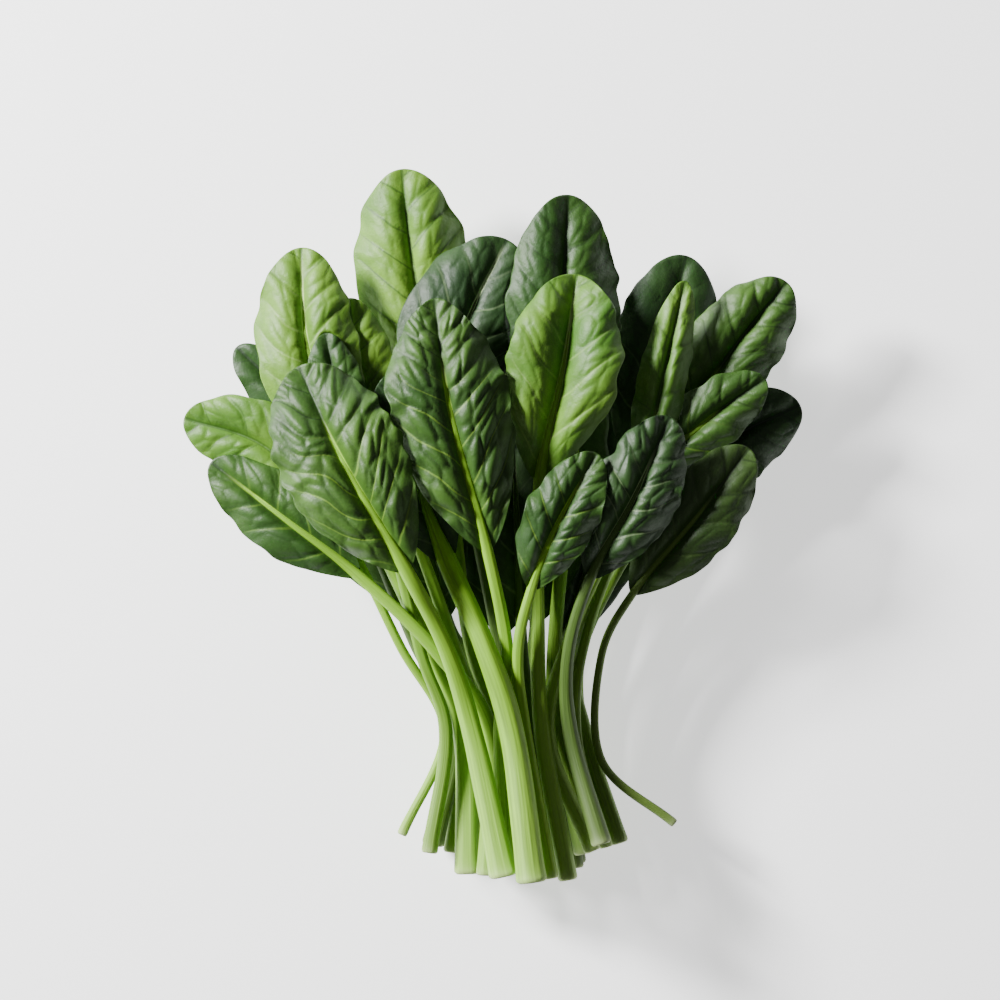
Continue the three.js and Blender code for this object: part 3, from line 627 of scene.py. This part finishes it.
def make_stalk(leaf, index, material):
    """Stalk with its rib: ribbed lengthways, with a shallow channel above and a pale cut end."""
    free = NECK_STEP * np.linspace(0, 1, STALK_RINGS, endpoint=False) ** RING_CROWDING
    bound = NECK_STEP + BLADE_STEPS * np.linspace(0, RIB_SHARE, RIB_RINGS)
    step = np.concatenate([free, bound])
    places = along(leaf["line"], step)
    tree = solid_tree("stalk_" + leaf["name"])
    middle = (heights(tree, places) + heights(tree, places, upward=True)) / 2
    middle = smooth_line(fill_line(middle), STALK_EVENING)
    run = np.concatenate([[0], np.cumsum(np.linalg.norm(np.diff(places, axis=0), axis=1))])

    cut, neck = leaf["radii"]
    stalk_radius = cut + (neck - cut) * np.minimum(step / NECK_STEP, 1) ** STALK_TAPER
    rib_share = np.maximum(step - NECK_STEP, 0) / BLADE_STEPS
    radius = np.where(step < NECK_STEP, stalk_radius, rib_radius(leaf, rib_share))
    uneven = waves(run, np.zeros_like(run), STALK_WAVES, STALK_SEED + index)
    radius = radius * (1 + STALK_UNEVENNESS * uneven)
    middle = middle + rib_lift(leaf, step, middle, radius)
    flare = 1 + FOOT_FLARE * np.exp(-run / FOOT_LENGTH) - CUT_ROUND * np.exp(-run / CUT_ROUND_LENGTH)

    angle = math.tau * np.arange(STALK_SIDES) / STALK_SIDES
    ridge = RIDGE_HEIGHT * np.cos(RIDGES * angle + RIDGE_TWIST * run[:, None] + index)
    channel = CHANNEL_DEPTH * np.exp(-(((angle - math.pi / 2) / CHANNEL_WIDTH) ** 2))
    reach = (radius * flare)[:, None] * (1 + ridge - channel)
    level_reach = (reach * np.cos(angle))[..., None] * right_of(leaf["line"], step)[:, None]
    height = np.maximum(middle[:, None] + reach * np.sin(angle), REST_GAP)
    points = np.dstack([places[:, None] + level_reach, height]).reshape(-1, 3)
    cut_middle = (places[0, 0], places[0, 1] + CUT_HOLLOW, middle[0])
    end_middle = (*places[-1], middle[-1])

    # Carried to the material: share of the length, place round the stalk, paleness of the cut and how much
    # painted light the stalk takes
    share = np.repeat(run / run[-1], STALK_SIDES)
    turn = np.tile(np.arange(STALK_SIDES) / STALK_SIDES, len(step))
    pale = np.repeat(np.exp(-run / CUT_PALE_LENGTH), STALK_SIDES)
    light = leaf.get("light", 0)
    carried = np.column_stack([share, turn, pale, np.full_like(share, light)])
    carried = np.vstack([carried, [0, 0, 1, light], [1, 0, 0, light]])
    return add_mesh("stalk_" + leaf["name"] + "_fine", np.vstack([points, cut_middle, end_middle]),
                    stalk_faces(len(step)), material, leaf=carried)


class Nodes:
    """Short way to make a material and wire up its nodes."""

    def __init__(self, name):
        self.material = bpy.data.materials.new(name)
        self.material.use_nodes = True
        self.tree = self.material.node_tree
        self.surface = self.tree.nodes["Principled BSDF"]
        self.place = self.add("ShaderNodeTexCoord").outputs["Object"]

    def add(self, kind, **settings):
        """New node with its settings."""
        made = self.tree.nodes.new(kind)
        for name, value in settings.items():
            setattr(made, name, value)
        return made

    def feed(self, node, wanted):
        """Gives the sockets of a node a number, a colour or the output of another node each."""
        for key, value in wanted.items():
            socket = node.inputs[key]
            if isinstance(value, bpy.types.NodeSocket):
                self.tree.links.new(value, socket)
            elif socket.type == "RGBA":
                socket.default_value = (*value, 1)
            else:
                socket.default_value = value

    def mix(self, share, first, second):
        """Colour between two, each a colour or the output of a node."""
        made = self.add("ShaderNodeMix", data_type="RGBA")
        self.feed(made, {0: share, 6: first, 7: second})
        return made.outputs[2]

    def maths(self, operation, *values, clamp=False):
        """Number worked out from numbers or outputs."""
        made = self.add("ShaderNodeMath", operation=operation, use_clamp=clamp)
        self.feed(made, dict(enumerate(values)))
        return made.outputs[0]

    def step_down(self, value, start, end):
        """Soft step from 1 to 0 while a value goes from start to end."""
        made = self.add("ShaderNodeMapRange", interpolation_type="SMOOTHSTEP")
        self.feed(made, {"Value": value, "From Min": start, "From Max": end, "To Min": 1, "To Max": 0})
        return made.outputs["Result"]

    def noise(self, scale, detail, roughness):
        """Noise through the whole object, with a scale in bumps to a metre."""
        made = self.add("ShaderNodeTexNoise")
        self.feed(made, {"Vector": self.place, "Scale": scale, "Detail": detail, "Roughness": roughness})
        return made.outputs["Fac"]

    def lines(self, across, lengthways):
        """Noise over two numbers, one across the lines and a slower one along them."""
        joined = self.add("ShaderNodeCombineXYZ")
        self.feed(joined, {0: across, 1: lengthways})
        made = self.add("ShaderNodeTexNoise", noise_dimensions="2D")
        self.feed(made, {"Vector": joined.outputs[0], "Scale": 1, "Detail": LINES_DETAIL})
        return made.outputs["Fac"]

    def carried(self, name):
        """The four values that each point carries under a name."""
        source = self.add("ShaderNodeAttribute", attribute_name=name)
        parts = self.add("ShaderNodeSeparateColor")
        self.feed(parts, {0: source.outputs["Color"]})
        return parts.outputs[0], parts.outputs[1], parts.outputs[2], source.outputs["Alpha"]

    def coat(self, colour, roughness, grain, look):
        """Colour, shine, glow and fine relief of the surface."""
        bump = self.add("ShaderNodeBump")
        self.feed(bump, {"Strength": look["relief"], "Distance": look["relief_depth"], "Height": grain})
        self.feed(self.surface, {
            "Base Color": colour,
            "Roughness": roughness,
            "Normal": bump.outputs["Normal"],
            "Specular IOR Level": look["shine"],
            "Subsurface Weight": look["glow"],
            "Subsurface Radius": look["glow_colour"],
            "Subsurface Scale": look["glow_depth"],
        })


# Looks of the two kinds of surface, with depths in metres
BLADE_LOOK = {"relief": 0.45, "relief_depth": 0.0006, "shine": 0.42,
              "glow": 0.06, "glow_colour": (0.4, 1.0, 0.2), "glow_depth": 0.001}
STALK_LOOK = {"relief": 0.4, "relief_depth": 0.0005, "shine": 0.32,
              "glow": 0.1, "glow_colour": (0.8, 1.0, 0.3), "glow_depth": 0.0015}
BLADE_ROUGHNESS = 0.42
ROUGHNESS_SPREAD = 0.22
STALK_ROUGHNESS = 0.55

# Scale, detail and roughness of each noise
WOBBLE_NOISE = (160, 2, 0.5)
WRINKLE_NOISE = (420, 4, 0.65)
PATCH_NOISE = (38, 3, 0.5)
BLOTCH_NOISE = (90, 3, 0.5)

# Lines of veins and rib: half widths, of a vein as a share of the way to the next one
VEIN_WOBBLE = 0.1
VEIN_CORE = 0.012
VEIN_EDGE = 0.055
RIB_CORE = 0.55
RIB_EDGE = 1.35

# How strongly each thing colours a blade, with painted shade in the hollows and along the creases
PATCH_CONTRAST = 2
PATCH_OWN_SHADE = 0.5
PATCH_OFFSET = -0.75
DEEP_SHARE = 0.4
WRINKLE_SHADE = 0.3
PAINTED_HOLLOW_SHADE = 0.45
PAINTED_CREASE_SHADE = 0.7
PALE_VEIN = 0.2

# How a stalk's colour runs along it, the painted lit colours that stand in for the key light on it, and its
# lengthways lines
LIT_STALK_LOW = (0.34, 0.62, 0.07)
LIT_STALK_HIGH = (0.26, 0.54, 0.02)
RAMP_PACE = 2.4
LINES_ROUND = 26
LINES_ALONG = 5
LINES_DETAIL = 4
LINES_CONTRAST = 2.4
LINES_OFFSET = -0.75
LINES_STRENGTH = 0.45
LINES_SHARE = 0.55
BLOTCH_STRENGTH = 0.3
BLOTCH_SHARE = 0.7
CUT_STRENGTH = 0.85


def darker(colour, share):
    """Colour with only a share of its light."""
    return tuple(share * part for part in colour)


def blade_material(name, dark, light, vein_colour, under):
    """Satin leaf: uneven green, thin pale veins, painted shade along the vein creases and in the hollows, a
    paler underside and fine wrinkles.
    """
    nodes = Nodes(name)
    count, across_rib, above, strength = nodes.carried("leaf")
    pale, painted_hollow_shade, shade, _ = nodes.carried("marks")
    wobble = nodes.maths("MULTIPLY_ADD", nodes.noise(*WOBBLE_NOISE), VEIN_WOBBLE, count)
    vein = nodes.step_down(nodes.maths("PINGPONG", wobble, 0.5), VEIN_CORE, VEIN_EDGE)
    vein = nodes.maths("MULTIPLY", vein, strength)
    rib = nodes.step_down(nodes.maths("ABSOLUTE", across_rib), RIB_CORE, RIB_EDGE)
    wrinkles = nodes.noise(*WRINKLE_NOISE)
    patch = nodes.maths("MULTIPLY_ADD", shade, PATCH_OWN_SHADE, PATCH_OFFSET)
    patch = nodes.maths("MULTIPLY_ADD", nodes.noise(*PATCH_NOISE), PATCH_CONTRAST, patch, clamp=True)
    deep = darker(dark, DEEP_SHARE)
    green = nodes.mix(patch, dark, light)
    green = nodes.mix(nodes.maths("MULTIPLY", wrinkles, WRINKLE_SHADE), green, deep)
    # Painted shade: the hollows between blisters are darkened
    green = nodes.mix(nodes.maths("MULTIPLY", painted_hollow_shade, PAINTED_HOLLOW_SHADE), green, deep)
    # Painted shade: rib and veins are darkened as creases where they are not pale
    crease = nodes.maths("MULTIPLY", nodes.maths("MAXIMUM", rib, vein), nodes.maths("SUBTRACT", 1, pale))
    green = nodes.mix(nodes.maths("MULTIPLY", crease, PAINTED_CREASE_SHADE), green, deep)
    bright = nodes.maths("MAXIMUM", rib, nodes.maths("MULTIPLY", vein, PALE_VEIN))
    green = nodes.mix(nodes.maths("MULTIPLY", bright, pale), green, vein_colour)
    green = nodes.mix(nodes.maths("SUBTRACT", 1, above), green, under)
    roughness = nodes.maths("MULTIPLY_ADD", wrinkles, ROUGHNESS_SPREAD, BLADE_ROUGHNESS)
    nodes.coat(green, roughness, wrinkles, BLADE_LOOK)
    return nodes.material


def stalk_material(name, low, high, cut_colour):
    """Moist stalk: pale at the cut end, greener above, with fine lines along it and a painted lit colour as
    far as the leaf's light value says.
    """
    nodes = Nodes(name)
    share, turn, cut, light = nodes.carried("leaf")
    ramp = nodes.maths("MULTIPLY", share, RAMP_PACE, clamp=True)
    # Painted light: the colour moves towards the lit yellow-green as far as the leaf's light value says
    green = nodes.mix(light, nodes.mix(ramp, low, high), nodes.mix(ramp, LIT_STALK_LOW, LIT_STALK_HIGH))
    across = nodes.maths("MULTIPLY", turn, LINES_ROUND)
    lines = nodes.lines(across, nodes.maths("MULTIPLY", share, LINES_ALONG))
    streak = nodes.maths("MULTIPLY_ADD", lines, LINES_CONTRAST, LINES_OFFSET, clamp=True)
    green = nodes.mix(nodes.maths("MULTIPLY", streak, LINES_STRENGTH), green, darker(high, LINES_SHARE))
    blotch = nodes.maths("MULTIPLY", nodes.noise(*BLOTCH_NOISE), BLOTCH_STRENGTH)
    green = nodes.mix(blotch, green, darker(low, BLOTCH_SHARE))
    green = nodes.mix(nodes.maths("MULTIPLY", cut, CUT_STRENGTH), green, cut_colour)
    nodes.coat(green, STALK_ROUGHNESS, lines, STALK_LOOK)
    return nodes.material


# Dark and light green, veins and underside of each tone of blade; the deep tone is partly the leaves' own
# dark green and partly painted shade for leaves deep in the bunch
BLADE_COLOURS = {
    "deep": ((0.012, 0.04, 0.008), (0.032, 0.085, 0.013), (0.48, 0.62, 0.32), (0.05, 0.11, 0.035)),
    "mid": ((0.02, 0.066, 0.007), (0.058, 0.14, 0.013), (0.38, 0.64, 0.06), (0.07, 0.15, 0.04)),
    "pale": ((0.055, 0.16, 0.012), (0.17, 0.33, 0.03), (0.42, 0.58, 0.18), (0.12, 0.23, 0.05)),
    "olive": ((0.026, 0.062, 0.01), (0.052, 0.105, 0.018), (0.15, 0.25, 0.06), (0.08, 0.14, 0.045)),
}
# Lower end, upper end and cut of each tone of stalk; the deep tone is kept dark to paint the shade of the
# stalks at the right and inside the bunch
STALK_COLOURS = {
    "deep": ((0.09, 0.15, 0.03), (0.06, 0.12, 0.015), (0.42, 0.52, 0.24)),
    "mid": ((0.19, 0.33, 0.055), (0.15, 0.31, 0.02), (0.5, 0.62, 0.28)),
    "pale": ((0.24, 0.4, 0.07), (0.2, 0.4, 0.03), (0.54, 0.66, 0.3)),
    "olive": ((0.13, 0.21, 0.04), (0.12, 0.21, 0.025), (0.42, 0.5, 0.24)),
}
blade_materials = {tone: blade_material("blade_" + tone, *colours) for tone, colours in BLADE_COLOURS.items()}
stalk_materials = {tone: stalk_material("stalk_" + tone, *colours) for tone, colours in STALK_COLOURS.items()}
KINDS = (("blade", make_blade, blade_materials), ("stalk", make_stalk, stalk_materials))

for number, leaf in enumerate(LEAVES):
    tone = leaf["tone"]
    for part, make, materials in KINDS:
        piece = make(leaf, number, materials[tone])
        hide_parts(f"{part}_{leaf['name']}")
        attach(piece, "root")

# Pale ground, soft light from the upper left and a camera that looks down on the bunch, in metres
FLOOR_REACH = 3
FLOOR_WHITE = (0.95, 0.95, 0.95, 1)
FLOOR_ROUGHNESS = 0.9
FLOOR_GLOW = 1.1
SKY_STRENGTH = 0.13
BUNCH_MIDDLE = (-0.01, 0.09, 0.03)
KEY_PLACE = (-1.1, 0.65, 0.75)
KEY_SIZE = 0.3
KEY_POWER = 80
CAMERA_HEIGHT = 1.6
PICTURE_WIDTH = 0.36
PICTURE_MIDDLE = (-0.0054, 0.0864)
SUBJECT_HEIGHT = 0.035
SENSOR_WIDTH = 36


def add_floor():
    """Pale ground that glows a little, so that it stays light."""
    corners = [(x * FLOOR_REACH, y * FLOOR_REACH, 0) for x, y in ((-1, -1), (1, -1), (1, 1), (-1, 1))]
    mesh = bpy.data.meshes.new("floor")
    mesh.from_pydata(corners, [], [(0, 1, 2, 3)])
    floor = bpy.data.objects.new("floor", mesh)
    bpy.context.collection.objects.link(floor)
    material = bpy.data.materials.new("floor")
    material.use_nodes = True
    surface = material.node_tree.nodes["Principled BSDF"]
    surface.inputs["Base Color"].default_value = FLOOR_WHITE
    surface.inputs["Roughness"].default_value = FLOOR_ROUGHNESS
    surface.inputs["Emission Color"].default_value = WHITE
    surface.inputs["Emission Strength"].default_value = FLOOR_GLOW
    mesh.materials.append(material)


def add_sky():
    """Even weak light from all round."""
    world = bpy.data.worlds.new("studio")
    bpy.context.scene.world = world
    world.use_nodes = True
    background = world.node_tree.nodes["Background"]
    background.inputs["Color"].default_value = WHITE
    background.inputs["Strength"].default_value = SKY_STRENGTH


def add_light(name, place, aim, size, power):
    """Square soft light that faces a place."""
    light = bpy.data.lights.new(name, "AREA")
    light.size = size
    light.energy = power
    made = bpy.data.objects.new(name, light)
    made.location = place
    made.rotation_euler = (Vector(aim) - Vector(place)).to_track_quat("-Z", "Y").to_euler()
    bpy.context.collection.objects.link(made)


def add_camera():
    """Camera straight above the middle of the picture."""
    data = bpy.data.cameras.new("camera")
    data.sensor_width = SENSOR_WIDTH
    data.lens = SENSOR_WIDTH * (CAMERA_HEIGHT - SUBJECT_HEIGHT) / PICTURE_WIDTH
    camera = bpy.data.objects.new("camera", data)
    camera.location = (*PICTURE_MIDDLE, CAMERA_HEIGHT)
    bpy.context.collection.objects.link(camera)
    bpy.context.scene.camera = camera


add_floor()
add_sky()
add_light("key", KEY_PLACE, BUNCH_MIDDLE, KEY_SIZE, KEY_POWER)
add_camera()
